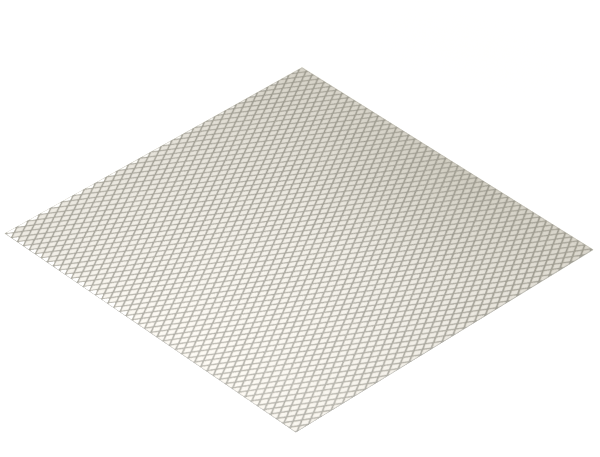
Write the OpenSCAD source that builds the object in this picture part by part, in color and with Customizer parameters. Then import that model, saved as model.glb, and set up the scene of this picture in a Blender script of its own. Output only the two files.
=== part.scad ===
// Diamond mesh sheet: a flat square of thin steel mesh, with rhombic openings in staggered rows.
// The sheet lies on z = 0, centred on the origin. The long way of the diamonds is along x, but for a
// slight turn, as the square is not cut quite true to its rows.

/* [Sheet] */
// Length of the sheet, along the long way of the diamonds
sheet_l = 100; // [40:1:120]
// Width of the sheet, along the short way of the diamonds
sheet_w = 100; // [40:1:120]
// Thickness of the steel
sheet_t = 0.15; // [0.1:0.05:1]
// Width of the plain strip that closes the diamonds at the four edges
edge_w = 0.12; // [0.08:0.02:2]

/* [Diamonds] */
// Long pitch of the diamonds, from bond to bond
diamond_l = 3.68; // [3:0.02:8]
// Short pitch of the diamonds, from bond to bond
diamond_w = 2.12; // [1.7:0.02:5]
// Width of one strand
strand_w = 0.34; // [0.2:0.02:0.5]
// Place of the middle bond along the length, from the middle of the sheet
shift_l = -0.05; // [-2:0.05:2]
// Place of the middle bond along the width, from the middle of the sheet
shift_w = 0.15; // [-1:0.05:1]
// Turn of the rows of diamonds against the edges, in degrees
turn = 0.26; // [-1:0.02:1]
// Least length and width at which a diamond that an edge cuts is still opened
least_open = 0.35; // [0.2:0.05:1]

/* [Hidden] */

// The mesh is one piece, drawn as a square of panels that meet face to face in the middle of bonds
panels = 3;
steel = [0.60, 0.59, 0.56];

// Bonds and openings take turns on a grid of half pitches, which is turned about the middle bond
step_l = diamond_l / 2;
step_w = diamond_w / 2;
slant = atan2(diamond_w, diamond_l);

// Farther from the middle bond, either way of the grid, than any edge of the sheet
far = norm([sheet_l, sheet_w]) / 2;

// From the middle of an opening to its sharp corners and to its blunt corners
open_l = step_l - strand_w / 2 / sin(slant);
open_w = step_w - strand_w / 2 / cos(slant);

// From the middle of the sheet to the edge strips
field_l = sheet_l / 2 - edge_w;
field_w = sheet_w / 2 - edge_w;

// A strip that would cut an opening closer than this to a corner cuts it at the corner
near_corner = 0.02;

// Where a panel starts on the grid: past an edge of the sheet, or on the line nearest to its share
function nearest(at, step) = round(at / step);
function start(panel, size, step) =
    panel == 0 ? -far
    : panel == panels ? far
    : nearest(size * (panel / panels - 1 / 2), step) * step;

// A point of the grid, measured from the middle of the sheet
function on_sheet(x, y) = [
    shift_l + x * cos(turn) - y * sin(turn),
    shift_w + x * sin(turn) + y * cos(turn)];

// Where a strip cuts an opening, from the opening's middle, or far out where it misses it
function cut_at(off, open) =
    off > open - near_corner ? far
    : abs(off) < near_corner ? 0
    : off;

module diamond() {
    polygon([[-open_l, 0], [0, -open_w], [open_l, 0], [0, open_w]]);
}

// One opening, cut off straight where it meets an edge strip, and left out where too little of it remains
module opening(x, y) {
    at = on_sheet(x, y);
    left = cut_at(field_l + at.x, open_l);
    right = cut_at(field_l - at.x, open_l);
    front = cut_at(field_w + at.y, open_w);
    back = cut_at(field_w - at.y, open_w);
    if (min(left, right, front, back) == far) {
        diamond();
    } else if (min(left, right) + open_l > least_open && min(front, back) + open_w > least_open) {
        intersection() {
            diamond();
            translate([-left, -front])
                square([left + right, front + back]);
        }
    }
}

// The openings whose middles lie in a rectangle or less than one grid step outside it
module openings(x0, x1, y0, y1) {
    for (i = [nearest(x0, step_l) - 1 : nearest(x1, step_l) + 1]) {
        for (j = [nearest(y0, step_w) - 1 : nearest(y1, step_w) + 1]) {
            if ((i + j) % 2 != 0) {
                translate([i * step_l, j * step_w])
                    opening(i * step_l, j * step_w);
            }
        }
    }
}

// One panel of the sheet, counted from the front left
module panel(column, row) {
    x0 = start(column, sheet_l, step_l);
    x1 = start(column + 1, sheet_l, step_l);
    y0 = start(row, sheet_w, step_w);
    y1 = start(row + 1, sheet_w, step_w);
    color(steel)
        linear_extrude(sheet_t)
            intersection() {
                square([sheet_l, sheet_w], center = true);
                translate([shift_l, shift_w])
                    rotate(turn)
                        difference() {
                            translate([x0, y0])
                                square([x1 - x0, y1 - y0]);
                            openings(x0, x1, y0, y1);
                        }
            }
}

module mesh_front_left() { panel(0, 0); }
module mesh_front_middle() { panel(1, 0); }
module mesh_front_right() { panel(2, 0); }
module mesh_middle_left() { panel(0, 1); }
module mesh_middle() { panel(1, 1); }
module mesh_middle_right() { panel(2, 1); }
module mesh_back_left() { panel(0, 2); }
module mesh_back_middle() { panel(1, 2); }
module mesh_back_right() { panel(2, 2); }

mesh_front_left();
mesh_front_middle();
mesh_front_right();
mesh_middle_left();
mesh_middle();
mesh_middle_right();
mesh_back_left();
mesh_back_middle();
mesh_back_right();
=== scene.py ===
import math

import bpy
from mathutils import Matrix, Vector


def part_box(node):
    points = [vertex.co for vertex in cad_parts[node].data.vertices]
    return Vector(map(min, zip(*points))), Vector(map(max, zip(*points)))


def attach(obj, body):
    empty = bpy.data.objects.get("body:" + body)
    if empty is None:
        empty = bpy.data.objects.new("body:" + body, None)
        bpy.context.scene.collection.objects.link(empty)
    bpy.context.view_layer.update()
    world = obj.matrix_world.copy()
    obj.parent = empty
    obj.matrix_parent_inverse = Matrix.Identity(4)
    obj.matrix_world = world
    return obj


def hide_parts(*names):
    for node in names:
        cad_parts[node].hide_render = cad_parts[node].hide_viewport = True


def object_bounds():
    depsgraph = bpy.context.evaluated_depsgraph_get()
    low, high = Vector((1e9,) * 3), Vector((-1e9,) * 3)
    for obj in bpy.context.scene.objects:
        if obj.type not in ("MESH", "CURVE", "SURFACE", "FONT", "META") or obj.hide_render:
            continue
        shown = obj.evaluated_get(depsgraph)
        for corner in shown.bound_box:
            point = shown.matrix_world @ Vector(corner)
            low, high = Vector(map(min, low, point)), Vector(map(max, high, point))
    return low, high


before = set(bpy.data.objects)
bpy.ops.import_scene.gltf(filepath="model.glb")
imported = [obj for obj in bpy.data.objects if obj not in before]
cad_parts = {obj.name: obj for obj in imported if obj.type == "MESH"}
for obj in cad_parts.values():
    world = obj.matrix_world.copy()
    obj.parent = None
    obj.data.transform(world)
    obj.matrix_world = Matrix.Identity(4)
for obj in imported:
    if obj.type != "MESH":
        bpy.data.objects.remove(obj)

CAD_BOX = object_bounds()
MM = 0.001
CORNER_PANELS = ("mesh_front_left", "mesh_back_right")

# Half the sheet's length, width and thickness, in millimetres
HALF_SHEET = (CAD_BOX[1] - CAD_BOX[0]) / 2 / MM

# Sizes of the mesh, in millimetres and degrees, as in the part's source
LONG_PITCH = 3.68
SHORT_PITCH = 2.12
STRAND_WIDTH = 0.34
EDGE_WIDTH = 0.12
MIDDLE_BOND = (-0.05, 0.15)
MESH_TURN = 0.26
LEAST_OPENING = 0.35

# What etching leaves on the openings, in millimetres: sloping shoulders at both faces, and blunted sharp
# corners
SHOULDER = 0.025
CORNER_EASE = 0.06

# Points of the sheet that lie closer than this, in millimetres, are welded
WELD_DISTANCE = 0.0005
# A surface is a rolled face, and not a wall, where its normal points up or down by more than this
ROLLED_FACING = 0.9
# How far a counted whole number may be off
COUNT_SLACK = 0.1

# Stainless steel: colours of the rolled faces and of the etched walls, darkest and lightest
FACE_DARK = (0.55, 0.545, 0.53)
FACE_LIGHT = (0.66, 0.655, 0.64)
WALL_DARK = (0.72, 0.71, 0.69)
WALL_LIGHT = (0.86, 0.85, 0.83)
# Painted highlight: a lighter colour laid along the edges of the strands
EDGE_PAINTED_HIGHLIGHT = (0.78, 0.775, 0.76)
# Painted shade: a dark colour on the walls of the sheet's outer edges
OUTER_WALL_PAINTED_SHADE = (0.34, 0.335, 0.325)

# Sheen of the steel: a pair is for where the tone is darkest and for where it is lightest. The faces have an
# even matt haze and are slightly brushed.
FACE_ROUGHNESS = (0.58, 0.42)
FACE_METAL = 0.7
FACE_BRUSHED = 0.3
WALL_ROUGHNESS = (0.62, 0.45)
WALL_METAL = (0.8, 1.0)

# Grain of the steel, in millimetres. Of each noise only the middle span of its values is used, and a tone
# is made of these shares of a fine pattern and of the clouds.
STEEL_GRAIN = {"Line Length": 2.0, "Line Width": 0.05, "Cloud Size": 14.0}
NOISE_DETAIL = 3.0
NOISE_SPAN = (0.3, 0.7)
FINE_SHARE = 0.6
CLOUD_SHARE = 0.4

# Painted highlight along the edges of the strands: where it starts, from 0 in the middle of a strand to 1 at
# its edge, and the most that it takes of the highlight colour
PAINTED_HIGHLIGHT_START = 0.7
PAINTED_HIGHLIGHT_MOST = 0.5

# Relief too fine to model: what one unit of height stands for, in millimetres. A face falls off towards the
# edge of its strand with a power of the way there. A pit reaches from one distance from its middle to the
# other, in widths of a pit.
FACE_RELIEF = 0.0012
CROWN_POWER = 4
CROWN_FALL = -3.0
WALL_RELIEF = 0.002
PITS_PER_MM = 22.0
PIT_SPAN = (0.15, 0.7)

# Paper under the sheet, as it shows through the diamonds, and the white surround that the photo is cut out
# to. Painted shade darkens the cream to its dimmest at one spot by the right edge, within a reach in
# millimetres.
PAPER_CREAM = (0.88, 0.857, 0.81)
PAPER_PAINTED_SHADE = (0.75, 0.73, 0.668)
PAINTED_SHADE_SPOT = (52.0, -8.0, 0.0)
PAINTED_SHADE_REACH = 45.0
PAPER_WHITE = (0.89, 0.89, 0.89)
PAPER_ROUGHNESS = 0.9
PAPER_GLOSS = 0.1

# White in the diamonds that the back and left edges cut, whose middles are less than this share of a pitch
# inside the edge: how much at the left and right end of the back edge, and how much at the middle of the
# left edge and from this share of the way to its back end
CUT_SHARE = 0.25
BACK_WHITE = (0.9, 0.3)
LEFT_WHITE = (0, 0.9)
LEFT_WHITE_REACH = 1 / 3

# Glow that lifts the white paper to the white of the page, near the sheet and far from it, and the two
# distances from the middle, in halves of the sheet's length
NEAR_LIFT = 0.40
FAR_LIFT = 0.75
LIFT_REACH = (1.5, 4)
# Half the side of the floor, in metres
FLOOR_REACH = 4.0

# Camera, fitted to the four corners of the sheet: angles in degrees, distance and clip in metres, and aim,
# lens and sensor in millimetres
CAMERA_AZIMUTH = -45.607
CAMERA_ELEVATION = 38.064
CAMERA_ROLL = 1.962
CAMERA_DISTANCE = 1.205
CAMERA_AIM = (3.788, 3.544)
CAMERA_LENS = 300
CAMERA_SENSOR = 36
CAMERA_CLIP = (0.05, 50)

# Light, in metres and watts: a dim warm room, a soft box close over the left side that lights without a
# glare in the steel, and a pale card over the middle that only shows mirrored in the steel, most at the
# front left corner, which is nearest to the camera
SHEET_MIDDLE = (0.0, 0.0, 0.0)
LAMP_PLACE = (-0.045, -0.014, 0.113)
LAMP_SIDE = 0.15
LAMP_POWER = 0.153
LAMP_COLOUR = (0.87, 0.89, 1.0)
CARD_PLACE = (-0.005, 0.002, 0.062)
CARD_AIM = (-0.05, -0.05, 0.0)
CARD_SIDE = 0.055
CARD_POWER = 0.0048
CARD_COLOUR = (0.86, 0.88, 0.97)
ROOM_COLOUR = (1.0, 0.965, 0.78)
ROOM_STRENGTH = 0.465


def add_input(tree, name, kind, value=None):
    """One named input of a node tree."""
    socket = tree.interface.new_socket(name=name, in_out="INPUT", socket_type=kind)
    if value is not None:
        socket.default_value = value


def add_output(tree, name, kind):
    """One named output of a node tree."""
    tree.interface.new_socket(name=name, in_out="OUTPUT", socket_type=kind)


class Tree:
    """Short words for adding nodes to a node tree and joining them."""

    def __init__(self, tree):
        self.tree = tree

    def put(self, socket, value):
        """Gives an input what another node puts out, or a plain value."""
        if isinstance(value, bpy.types.NodeSocket):
            self.tree.links.new(value, socket)
        else:
            socket.default_value = value

    def node(self, idname, inputs=(), **settings):
        """A new node, with its settings, and its inputs by name or number."""
        node = self.tree.nodes.new(idname)
        for name, value in settings.items():
            setattr(node, name, value)
        for name, value in dict(inputs).items():
            self.put(node.inputs[name], value)
        return node

    def math(self, operation, *values):
        """The result of one sum."""
        node = self.tree.nodes.new("ShaderNodeMath")
        node.operation = operation
        for socket, value in zip(node.inputs, values):
            self.put(socket, value)
        return node.outputs[0]

    def half(self, value):
        return self.math("MULTIPLY", value, 0.5)

    def twice(self, value):
        return self.math("MULTIPLY", value, 2)

    def vector(self, x, y, z):
        return self.node("ShaderNodeCombineXYZ", {"X": x, "Y": y, "Z": z}).outputs[0]

    def parts(self, vector):
        """The X, Y and Z of a vector."""
        return self.node("ShaderNodeSeparateXYZ", {"Vector": vector}).outputs

    def ramp(self, value, low, high, start=0.0, end=1.0):
        """A value that runs from start to end as the input runs from low to high, and is held beyond."""
        node = self.node("ShaderNodeMapRange", {
            "Value": value, "From Min": low, "From Max": high, "To Min": start, "To Max": end})
        return node.outputs["Result"]

    def mix(self, factor, first, second):
        """A colour between two others."""
        node = self.tree.nodes.new("ShaderNodeMix")
        node.data_type = "RGBA"
        colours = [socket for socket in node.inputs if socket.type == "RGBA"]
        for socket, value in zip(colours, (first, second)):
            self.put(socket, (*value, 1) if isinstance(value, tuple) else value)
        self.put(node.inputs[0], factor)
        return [socket for socket in node.outputs if socket.type == "RGBA"][0]

    def boolean(self, operation, first, second):
        """The first solid less the second, or what the two share."""
        node = self.tree.nodes.new("GeometryNodeMeshBoolean")
        node.solver = "MANIFOLD"
        node.operation = operation
        # Only a difference takes its first solid by a socket of its own
        self.put(node.inputs["Mesh 1" if operation == "DIFFERENCE" else "Mesh 2"], first)
        self.put(node.inputs["Mesh 2"], second)
        return node.outputs["Mesh"]


def mesh_tree():
    """Geometry tree: a sheet blank cut up along the lines of bonds, less one cutter for each diamond."""
    tree = bpy.data.node_groups.new("diamond mesh", "GeometryNodeTree")
    add_input(tree, "Geometry", "NodeSocketGeometry")
    add_output(tree, "Mesh", "NodeSocketGeometry")
    for name in ("Length", "Width", "Thickness", "Long Pitch", "Short Pitch", "Strand Width", "Edge Width",
                 "Middle Bond X", "Middle Bond Y", "Turn", "Least Opening", "Shoulder", "Corner Ease",
                 "Weld Distance"):
        add_input(tree, name, "NodeSocketFloat")
    add_input(tree, "Face Material", "NodeSocketMaterial")
    add_input(tree, "Wall Material", "NodeSocketMaterial")
    t = Tree(tree)
    given = t.node("NodeGroupInput").outputs
    m = t.math

    step_x = t.half(given["Long Pitch"])
    step_y = t.half(given["Short Pitch"])
    step_across = m("SQRT", m("ADD", m("MULTIPLY", step_x, step_x), m("MULTIPLY", step_y, step_y)))
    # A diamond is the rhombus between strand middles, made smaller by half a strand on each side
    reach = m("DIVIDE", m("MULTIPLY", step_x, step_y), step_across)
    clear = m("SUBTRACT", reach, t.half(given["Strand Width"]))
    share = m("DIVIDE", clear, reach)
    open_x = m("MULTIPLY", step_x, share)
    open_y = m("MULTIPLY", step_y, share)
    half_x = t.half(given["Length"])
    half_y = t.half(given["Width"])
    half_z = t.half(given["Thickness"])
    field_x = m("SUBTRACT", half_x, given["Edge Width"])
    field_y = m("SUBTRACT", half_y, given["Edge Width"])

    # Lines of bonds to each side of the middle one, enough to pass the edges of the sheet
    lines_x = m("CEIL", m("DIVIDE", m("ADD", half_x, m("ABSOLUTE", given["Middle Bond X"])), step_x))
    lines_y = m("CEIL", m("DIVIDE", m("ADD", half_y, m("ABSOLUTE", given["Middle Bond Y"])), step_y))
    count_x = m("ADD", t.twice(lines_x), 1)
    count_y = m("ADD", t.twice(lines_y), 1)
    span_x = m("MULTIPLY", t.twice(lines_x), step_x)
    span_y = m("MULTIPLY", t.twice(lines_y), step_y)
    middle = t.vector(given["Middle Bond X"], given["Middle Bond Y"], 0)
    turn = t.vector(0, 0, given["Turn"])

    # The blank: a block divided at every line of bonds, trimmed to the outline of the sheet
    block = t.node("GeometryNodeMeshCube", {
        "Size": t.vector(span_x, span_y, given["Thickness"]), "Vertices X": count_x, "Vertices Y": count_y})
    placed = t.node("GeometryNodeTransform", {
        "Geometry": block.outputs["Mesh"], "Translation": middle, "Rotation": turn})
    outline = t.node("GeometryNodeMeshCube", {
        "Size": t.vector(given["Length"], given["Width"], t.twice(given["Thickness"]))})
    blank = t.boolean("INTERSECT", placed.outputs[0], outline.outputs["Mesh"])

    # One cutter: a rhombic prism of four rings, upright between the shoulders and flared through them,
    # with its sharp corners cut off. The rings start at heights of 0.5 and 1.5, up and down, to be told
    # apart. The outer ones end as far past the face as a shoulder goes into it.
    prism = t.node("GeometryNodeMeshCylinder", {
        "Vertices": 4, "Side Segments": 3, "Radius": 1.0, "Depth": 3.0})
    at = t.parts(t.node("GeometryNodeInputPosition").outputs[0])
    side = m("SIGN", at["Z"])
    outer_ring = m("GREATER_THAN", m("ABSOLUTE", at["Z"]), 1)
    flare = t.twice(given["Shoulder"])
    inner_z = m("SUBTRACT", half_z, given["Shoulder"])
    ring_z = m("MULTIPLY", side, m("ADD", inner_z, m("MULTIPLY", outer_ring, flare)))
    wide = m("ADD", 1, m("MULTIPLY", outer_ring, m("DIVIDE", flare, clear)))
    shaped = t.node("GeometryNodeSetPosition", {
        "Geometry": prism.outputs["Mesh"],
        "Position": t.vector(m("MULTIPLY", m("MULTIPLY", at["X"], open_x), wide),
                             m("MULTIPLY", m("MULTIPLY", at["Y"], open_y), wide), ring_z)})
    # Blocks that trim the cutters stand well past both faces
    tall = m("MULTIPLY", given["Thickness"], 3)
    corner_cut = t.node("GeometryNodeMeshCube", {
        "Size": t.vector(t.twice(m("SUBTRACT", open_x, given["Corner Ease"])), given["Short Pitch"], tall)})
    cutter = t.boolean("INTERSECT", shaped.outputs[0], corner_cut.outputs["Mesh"])

    # A cutter at every second crossing of the lines, where enough of it lies inside the edge strips
    grid = t.node("GeometryNodeMeshGrid", {
        "Size X": span_x, "Size Y": span_y, "Vertices X": count_x, "Vertices Y": count_y})
    spots = t.node("GeometryNodeTransform", {
        "Geometry": grid.outputs["Mesh"], "Translation": middle, "Rotation": turn})
    index = t.node("GeometryNodeInputIndex").outputs[0]
    # The half keeps a division that should come out whole from falling short
    line_x = m("FLOOR", m("DIVIDE", m("ADD", index, 0.5), count_y))
    line_y = m("SUBTRACT", index, m("MULTIPLY", line_x, count_y))
    from_middle = m("ADD", m("SUBTRACT", line_x, lines_x), m("SUBTRACT", line_y, lines_y))
    odd = m("COMPARE", m("FLOORED_MODULO", from_middle, 2), 1, COUNT_SLACK)

    def enough(place, opening, half_field):
        """Whether enough of an opening is left between the edge strips, one way of the sheet."""
        high = m("MINIMUM", m("ADD", place, opening), half_field)
        low = m("MAXIMUM", m("SUBTRACT", place, opening), m("MULTIPLY", half_field, -1))
        return m("GREATER_THAN", m("SUBTRACT", high, low), given["Least Opening"])

    # Here the position is that of the spot
    inside = m("MULTIPLY", enough(at["X"], open_x, field_x), enough(at["Y"], open_y, field_y))
    wanted = m("MULTIPLY", odd, inside)
    cutters = t.node("GeometryNodeInstanceOnPoints", {
        "Points": spots.outputs[0], "Selection": wanted, "Instance": cutter, "Rotation": turn})
    real = t.node("GeometryNodeRealizeInstances", {"Geometry": cutters.outputs[0]})
    field = t.node("GeometryNodeMeshCube", {"Size": t.vector(t.twice(field_x), t.twice(field_y), tall)})
    trimmed = t.boolean("INTERSECT", real.outputs[0], field.outputs["Mesh"])

    sheet = t.boolean("DIFFERENCE", blank, trimmed)
    welded = t.node("GeometryNodeMergeByDistance", {"Geometry": sheet, "Distance": given["Weld Distance"]})
    raised = t.node("GeometryNodeTransform", {
        "Geometry": welded.outputs[0], "Translation": t.vector(0, 0, half_z)})
    whole = t.node("GeometryNodeRealizeInstances", {"Geometry": raised.outputs[0]})
    facing = t.parts(t.node("GeometryNodeInputNormal").outputs[0])["Z"]
    rolled = m("GREATER_THAN", m("ABSOLUTE", facing), ROLLED_FACING)
    walls = t.node("GeometryNodeSetMaterial", {
        "Geometry": whole.outputs[0], "Material": given["Wall Material"]})
    faces = t.node("GeometryNodeSetMaterial", {
        "Geometry": walls.outputs[0], "Selection": rolled, "Material": given["Face Material"]})
    t.node("NodeGroupOutput", {"Mesh": faces.outputs[0]})
    return tree


def make_mesh_sheet(face_material, wall_material):
    """The whole sheet as one closed mesh, in place of the nine panels."""
    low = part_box(CORNER_PANELS[0])[0]
    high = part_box(CORNER_PANELS[1])[1]
    sizes = {
        "Length": high[0] - low[0], "Width": high[1] - low[1], "Thickness": high[2] - low[2],
        "Long Pitch": LONG_PITCH * MM, "Short Pitch": SHORT_PITCH * MM, "Strand Width": STRAND_WIDTH * MM,
        "Edge Width": EDGE_WIDTH * MM, "Least Opening": LEAST_OPENING * MM,
        "Middle Bond X": MIDDLE_BOND[0] * MM, "Middle Bond Y": MIDDLE_BOND[1] * MM,
        "Turn": math.radians(MESH_TURN), "Shoulder": SHOULDER * MM, "Corner Ease": CORNER_EASE * MM,
        "Weld Distance": WELD_DISTANCE * MM, "Face Material": face_material, "Wall Material": wall_material,
    }
    source = bpy.data.objects.new("mesh pattern", bpy.data.meshes.new("mesh pattern"))
    bpy.context.scene.collection.objects.link(source)
    modifier = source.modifiers.new("diamond mesh", "NODES")
    modifier.node_group = mesh_tree()
    for item in modifier.node_group.interface.items_tree:
        if item.item_type == "SOCKET" and item.in_out == "INPUT" and item.name in sizes:
            modifier[item.identifier] = sizes[item.name]
    depsgraph = bpy.context.evaluated_depsgraph_get()
    mesh = bpy.data.meshes.new_from_object(source.evaluated_get(depsgraph), depsgraph=depsgraph)
    mesh.name = "mesh_sheet"
    bpy.data.objects.remove(source)
    piece = bpy.data.objects.new("mesh_sheet", mesh)
    bpy.context.scene.collection.objects.link(piece)
    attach(piece, "root")
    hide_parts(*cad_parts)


def with_clouds(t, fine, clouds):
    """A fine pattern and slow clouds taken together as one tone."""
    return t.math("ADD", t.math("MULTIPLY", fine, FINE_SHARE), t.math("MULTIPLY", clouds, CLOUD_SHARE))


def rolled_grain_group():
    """Fine lines along the sheet and slow clouds, each from 0 to 1, and the tone that the two make. Place and
    sizes are in millimetres."""
    group = bpy.data.node_groups.new("rolled grain", "ShaderNodeTree")
    add_input(group, "Place", "NodeSocketVector")
    for name, size in STEEL_GRAIN.items():
        add_input(group, name, "NodeSocketFloat", size)
    for name in ("Lines", "Clouds", "Tone"):
        add_output(group, name, "NodeSocketFloat")
    t = Tree(group)
    given = t.node("NodeGroupInput").outputs
    at = t.parts(given["Place"])
    drawn_out = t.vector(t.math("DIVIDE", at["X"], given["Line Length"]),
                         t.math("DIVIDE", at["Y"], given["Line Width"]),
                         t.math("DIVIDE", at["Z"], given["Line Width"]))
    line_noise = t.node("ShaderNodeTexNoise", {"Vector": drawn_out, "Scale": 1.0, "Detail": NOISE_DETAIL})
    cloud_noise = t.node("ShaderNodeTexNoise", {
        "Vector": given["Place"], "Scale": t.math("DIVIDE", 1.0, given["Cloud Size"]),
        "Detail": NOISE_DETAIL})
    lines = t.ramp(line_noise.outputs[0], *NOISE_SPAN)
    clouds = t.ramp(cloud_noise.outputs[0], *NOISE_SPAN)
    t.node("NodeGroupOutput", {"Lines": lines, "Clouds": clouds, "Tone": with_clouds(t, lines, clouds)})
    return group


def strand_place_group():
    """Where a point lies in the mesh: how near it is to the edge of its strand (0 along the middle, 1 at the
    opening), and the middle of its diamond, along and across the rows."""
    group = bpy.data.node_groups.new("strand place", "ShaderNodeTree")
    add_input(group, "Place", "NodeSocketVector")
    add_input(group, "Long Pitch", "NodeSocketFloat", LONG_PITCH)
    add_input(group, "Short Pitch", "NodeSocketFloat", SHORT_PITCH)
    add_input(group, "Strand Width", "NodeSocketFloat", STRAND_WIDTH)
    add_input(group, "Middle Bond", "NodeSocketVector", (*MIDDLE_BOND, 0.0))
    add_input(group, "Turn", "NodeSocketFloat", math.radians(MESH_TURN))
    for name in ("Edge", "Diamond X", "Diamond Y"):
        add_output(group, name, "NodeSocketFloat")
    t = Tree(group)
    given = t.node("NodeGroupInput").outputs
    m = t.math
    straight = t.node("ShaderNodeVectorRotate", {
        "Vector": given["Place"], "Center": given["Middle Bond"], "Angle": m("MULTIPLY", given["Turn"], -1)},
        rotation_type="Z_AXIS")
    from_bond = t.node("ShaderNodeVectorMath", {
        0: straight.outputs[0], 1: given["Middle Bond"]}, operation="SUBTRACT")
    at = t.parts(from_bond.outputs[0])
    along = m("DIVIDE", at["X"], given["Long Pitch"])
    across = m("DIVIDE", at["Y"], given["Short Pitch"])
    # Strand middles are where the sum or the difference of the two is a whole number
    up = m("ADD", along, across)
    down = m("SUBTRACT", along, across)
    gap = m("DIVIDE", 1.0, m("SQRT", m("ADD", m("POWER", given["Long Pitch"], -2),
                                       m("POWER", given["Short Pitch"], -2))))
    half_strand = t.half(given["Strand Width"])

    def off_middle(phase):
        """How far off the middle of the nearest strand of one family, in half strands."""
        return m("DIVIDE", m("MULTIPLY", m("PINGPONG", phase, 0.5), gap), half_strand)

    edge = m("MINIMUM", m("MINIMUM", off_middle(up), off_middle(down)), 1.0)
    # A diamond's middle is where the sum and the difference are both halfway between whole numbers
    up_middle = m("ADD", m("FLOOR", up), 0.5)
    down_middle = m("ADD", m("FLOOR", down), 0.5)
    bond = t.parts(given["Middle Bond"])
    step_x = t.half(given["Long Pitch"])
    step_y = t.half(given["Short Pitch"])
    t.node("NodeGroupOutput", {
        "Edge": edge,
        "Diamond X": m("ADD", bond["X"], m("MULTIPLY", m("ADD", up_middle, down_middle), step_x)),
        "Diamond Y": m("ADD", bond["Y"], m("MULTIPLY", m("SUBTRACT", up_middle, down_middle), step_y))})
    return group


def new_material(name):
    """A material with its tree, its shader, and the object's coordinates in millimetres."""
    material = bpy.data.materials.new(name)
    material.use_nodes = True
    t = Tree(material.node_tree)
    shader = material.node_tree.nodes["Principled BSDF"]
    in_metres = t.node("ShaderNodeTexCoord").outputs["Object"]
    place = t.node("ShaderNodeVectorMath", {0: in_metres, "Scale": 1 / MM}, operation="SCALE")
    return material, t, shader, place.outputs[0]


def add_group(t, group, place, values=()):
    """The outputs of a shared group, placed in a material's tree with that material's values."""
    return t.node("ShaderNodeGroup", {"Place": place, **dict(values)}, node_tree=group).outputs


def add_relief(t, shader, height, unit):
    """Bumps by a height, of which one unit stands for so many millimetres."""
    bump = t.node("ShaderNodeBump", {"Height": height, "Strength": 1.0, "Distance": unit * MM})
    t.put(shader.inputs["Normal"], bump.outputs[0])


def rolled_face_material(grain, strands):
    """Rolled stainless face: satin with a matt haze, fine lines and slow tone, and a painted highlight, a
    lighter colour along the edges of the strands."""
    material, t, shader, place = new_material("rolled steel face")
    shader.inputs["Metallic"].default_value = FACE_METAL
    shader.inputs["Anisotropic"].default_value = FACE_BRUSHED
    marks = add_group(t, grain, place, STEEL_GRAIN)
    edge = add_group(t, strands, place)["Edge"]
    # Painted highlight: the colour turns lighter towards each strand's edge
    painted_highlight = t.ramp(edge, PAINTED_HIGHLIGHT_START, 1, 0, PAINTED_HIGHLIGHT_MOST)
    tone = t.mix(marks["Tone"], FACE_DARK, FACE_LIGHT)
    t.put(shader.inputs["Base Color"], t.mix(painted_highlight, tone, EDGE_PAINTED_HIGHLIGHT))
    t.put(shader.inputs["Roughness"], t.ramp(marks["Tone"], 0, 1, *FACE_ROUGHNESS))
    crown = t.math("MULTIPLY", t.math("POWER", edge, CROWN_POWER), CROWN_FALL)
    add_relief(t, shader, t.math("ADD", marks["Lines"], crown), FACE_RELIEF)
    return material


def etched_wall_material(grain):
    """Stainless walls: light, finely pitted and a little matt in the pits where etched, and with painted
    shade, a dark colour, on the walls of the sheet's outer edges."""
    material, t, shader, place = new_material("etched steel wall")
    marks = add_group(t, grain, place, STEEL_GRAIN)
    pits = t.node("ShaderNodeTexVoronoi", {"Vector": place, "Scale": PITS_PER_MM}, feature="F1")
    pitted = t.ramp(pits.outputs["Distance"], *PIT_SPAN)
    tone = with_clouds(t, pitted, marks["Clouds"])
    at = t.parts(place)
    # The outer edges lie past the middle of the edge strip. Their walls get a dark colour, a painted shade.
    painted_outer_shade = t.math(
        "MAXIMUM", t.math("GREATER_THAN", t.math("ABSOLUTE", at["X"]), HALF_SHEET.x - EDGE_WIDTH / 2),
        t.math("GREATER_THAN", t.math("ABSOLUTE", at["Y"]), HALF_SHEET.y - EDGE_WIDTH / 2))
    t.put(shader.inputs["Base Color"], t.mix(painted_outer_shade, t.mix(tone, WALL_DARK, WALL_LIGHT), OUTER_WALL_PAINTED_SHADE))
    t.put(shader.inputs["Roughness"], t.ramp(tone, 0, 1, *WALL_ROUGHNESS))
    t.put(shader.inputs["Metallic"], t.ramp(tone, 0, 1, *WALL_METAL))
    add_relief(t, shader, pitted, WALL_RELIEF)
    return material


def make_camera():
    """The camera, which looks down on the sheet from beyond its front left corner."""
    azimuth = math.radians(CAMERA_AZIMUTH)
    elevation = math.radians(CAMERA_ELEVATION)
    roll = math.radians(CAMERA_ROLL)
    back = Vector((math.sin(azimuth) * math.cos(elevation), -math.cos(azimuth) * math.cos(elevation),
                   math.sin(elevation)))
    level = Vector((math.cos(azimuth), math.sin(azimuth), 0))
    upright = back.cross(level)
    right = level * math.cos(roll) + upright * math.sin(roll)
    up = upright * math.cos(roll) - level * math.sin(roll)
    data = bpy.data.cameras.new("camera")
    data.sensor_width = CAMERA_SENSOR
    data.lens = CAMERA_LENS
    data.clip_start = CAMERA_CLIP[0]
    data.clip_end = CAMERA_CLIP[1]
    camera = bpy.data.objects.new("camera", data)
    bpy.context.scene.collection.objects.link(camera)
    aim = Vector((*CAMERA_AIM, 0)) * MM
    turn = Matrix((right, up, back)).transposed().to_4x4()
    camera.matrix_world = Matrix.Translation(aim + back * CAMERA_DISTANCE) @ turn
    bpy.context.scene.camera = camera


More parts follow.
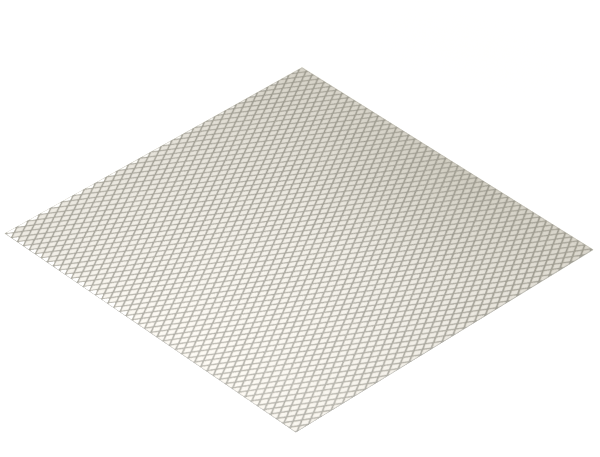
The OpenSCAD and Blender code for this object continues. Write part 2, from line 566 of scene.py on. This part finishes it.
def paper_material(strands):
    """Paper: cream under the sheet, with painted shade making it dimmer towards the right, and lifted to
    white round the sheet. Some of that white also shows in the diamonds cut by the left and back edges near
    the corner between them. It keeps shadows."""
    material, t, shader, place = new_material("paper")
    shader.inputs["Roughness"].default_value = PAPER_ROUGHNESS
    shader.inputs["Specular IOR Level"].default_value = PAPER_GLOSS
    at = t.parts(place)
    inside = t.math("MULTIPLY", t.math("LESS_THAN", t.math("ABSOLUTE", at["X"]), HALF_SHEET.x),
                    t.math("LESS_THAN", t.math("ABSOLUTE", at["Y"]), HALF_SHEET.y))
    outside = t.math("SUBTRACT", 1.0, inside)
    diamond = add_group(t, strands, place)
    cut_back = t.math("GREATER_THAN", diamond["Diamond Y"], HALF_SHEET.y - SHORT_PITCH * CUT_SHARE)
    cut_left = t.math("LESS_THAN", diamond["Diamond X"], LONG_PITCH * CUT_SHARE - HALF_SHEET.x)
    back_white = t.ramp(at["X"], -HALF_SHEET.x, HALF_SHEET.x, *BACK_WHITE)
    left_white = t.ramp(at["Y"], 0, HALF_SHEET.y * LEFT_WHITE_REACH, *LEFT_WHITE)
    cut_white = t.math("MAXIMUM", t.math("MULTIPLY", cut_back, back_white),
                       t.math("MULTIPLY", cut_left, left_white))
    white = t.math("MAXIMUM", outside, cut_white)
    from_shade_spot = t.node("ShaderNodeVectorMath", {0: place, 1: PAINTED_SHADE_SPOT}, operation="DISTANCE").outputs["Value"]
    # Painted shade: the cream darkens towards a spot by the right edge
    cream = t.mix(t.ramp(from_shade_spot, 0, PAINTED_SHADE_REACH, 1, 0), PAPER_CREAM, PAPER_PAINTED_SHADE)
    t.put(shader.inputs["Base Color"], t.mix(white, cream, PAPER_WHITE))
    # The camera sees the glow, straight, mirrored or through glass, but it lights nothing matt
    ray = t.node("ShaderNodeLightPath").outputs
    seen = t.math("MINIMUM", t.math("ADD", t.math("ADD", ray["Is Camera Ray"], ray["Is Glossy Ray"]),
                                    ray["Is Transmission Ray"]), 1.0)
    from_middle = t.node("ShaderNodeVectorMath", {0: place}, operation="LENGTH").outputs["Value"]
    near, far = (HALF_SHEET.x * halves for halves in LIFT_REACH)
    lift = t.ramp(from_middle, near, far, NEAR_LIFT, FAR_LIFT)
    shader.inputs["Emission Strength"].default_value = 1.0
    t.put(shader.inputs["Emission Color"], t.math("MULTIPLY", t.math("MULTIPLY", white, seen), lift))
    return material


def make_floor(material):
    """One flat face of paper under the sheet, wider than any view of it."""
    reach = FLOOR_REACH
    mesh = bpy.data.meshes.new("floor")
    mesh.from_pydata([(-reach, -reach, 0), (reach, -reach, 0), (reach, reach, 0), (-reach, reach, 0)], [],
                     [(0, 1, 2, 3)])
    mesh.materials.append(material)
    floor = bpy.data.objects.new("floor", mesh)
    bpy.context.scene.collection.objects.link(floor)


def hang_lamp(name, place, aim, side, power, colour):
    """A square lamp turned to a point, which the camera doesn't see."""
    data = bpy.data.lights.new(name, "AREA")
    data.shape = "SQUARE"
    data.size = side
    data.energy = power
    data.color = colour
    lamp = bpy.data.objects.new(name, data)
    bpy.context.scene.collection.objects.link(lamp)
    away = Vector(place) - Vector(aim)
    lamp.matrix_world = Matrix.Translation(place) @ away.to_track_quat("Z", "Y").to_matrix().to_4x4()
    lamp.visible_camera = False
    return lamp


def make_light():
    """The room, the soft box, which no surface mirrors, and the card, which is only seen mirrored."""
    world = bpy.data.worlds.new("studio")
    bpy.context.scene.world = world
    world.use_nodes = True
    room = world.node_tree.nodes["Background"]
    room.inputs["Color"].default_value = (*ROOM_COLOUR, 1)
    room.inputs["Strength"].default_value = ROOM_STRENGTH
    soft_box = hang_lamp("soft box", LAMP_PLACE, SHEET_MIDDLE, LAMP_SIDE, LAMP_POWER, LAMP_COLOUR)
    soft_box.visible_glossy = False
    card = hang_lamp("pale card", CARD_PLACE, CARD_AIM, CARD_SIDE, CARD_POWER, CARD_COLOUR)
    card.visible_diffuse = False


make_camera()
metal_grain = rolled_grain_group()
strand_place = strand_place_group()
make_mesh_sheet(rolled_face_material(metal_grain, strand_place), etched_wall_material(metal_grain))
make_floor(paper_material(strand_place))
make_light()
bpy.context.scene.view_settings.view_transform = "Standard"
